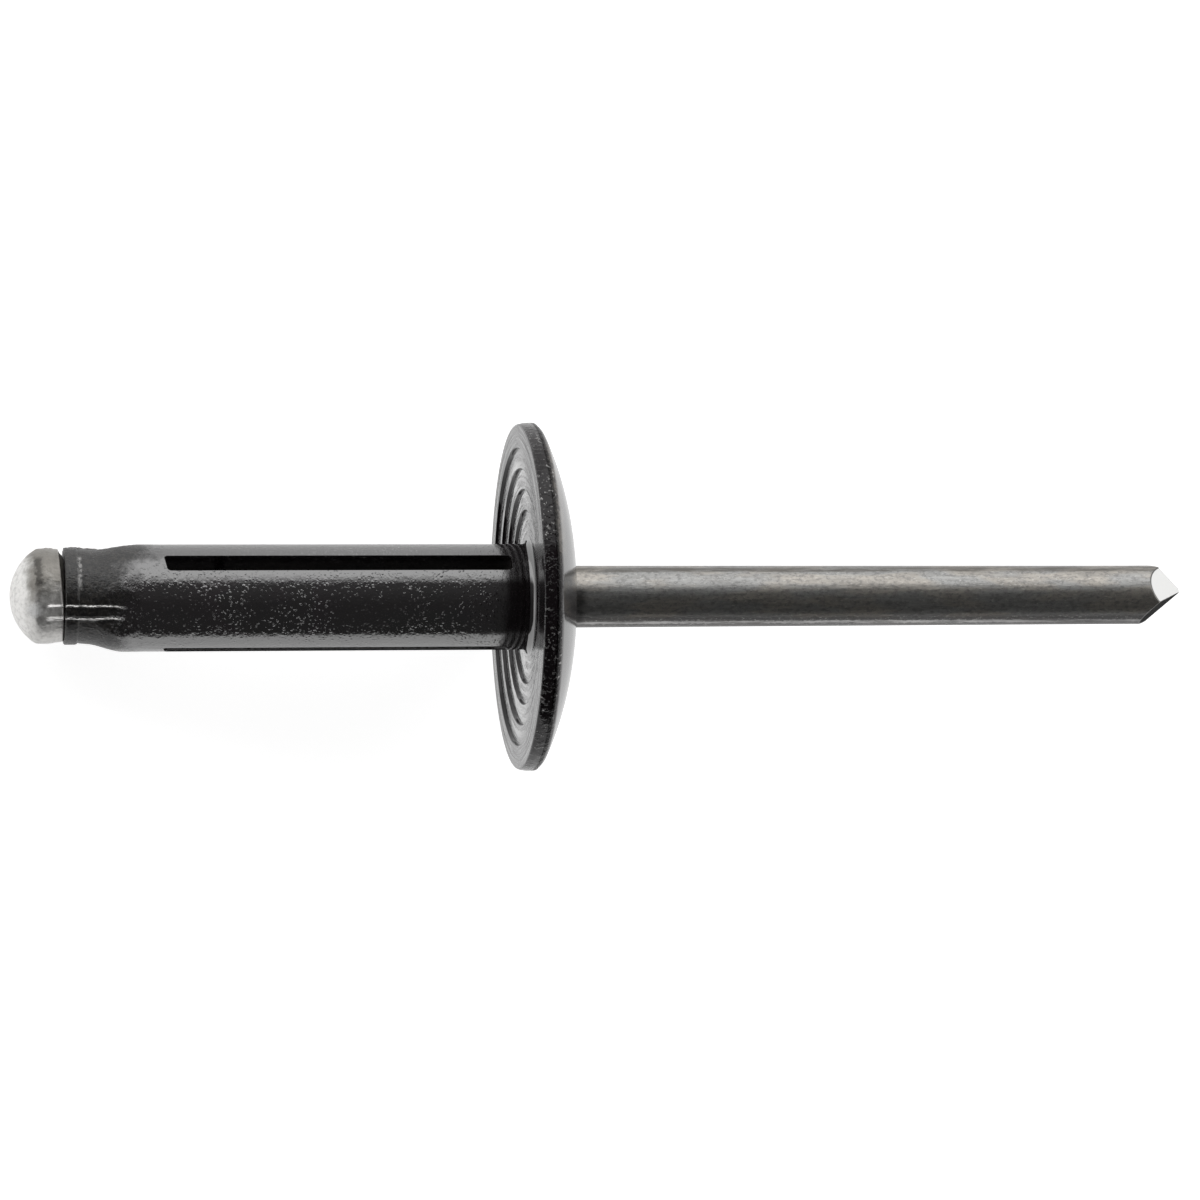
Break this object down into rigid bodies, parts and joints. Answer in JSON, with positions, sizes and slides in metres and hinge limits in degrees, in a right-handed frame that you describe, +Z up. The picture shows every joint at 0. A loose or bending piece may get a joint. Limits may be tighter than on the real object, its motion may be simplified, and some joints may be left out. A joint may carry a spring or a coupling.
{
  "type": "split blind rivet",
  "caption": "Split blind rivet: a black slotted shell with a wide domed flange, crimped on a bare mandrel with a round head and a pointed tail.",
  "frame": {"origin": "point of the rivet's axis in the plane of the flange's seat", "axes": "the rivet lies at rest on its rim and its head: +Z up, +X towards the mandrel's tail, which rises, and +Y across the flange"},
  "size_m": [0.0531, 0.016, 0.0167],
  "materials": {
    "black_paint": "gloss black paint over aluminium, with a fine orange peel",
    "bare_aluminium": "bare drawn wire, with fine streaks along it and a smoother domed head"
  },
  "bodies": {
    "root": {"rivet_shell": "black_paint", "mandrel": "bare_aluminium"}
  },
  "joints": []
}
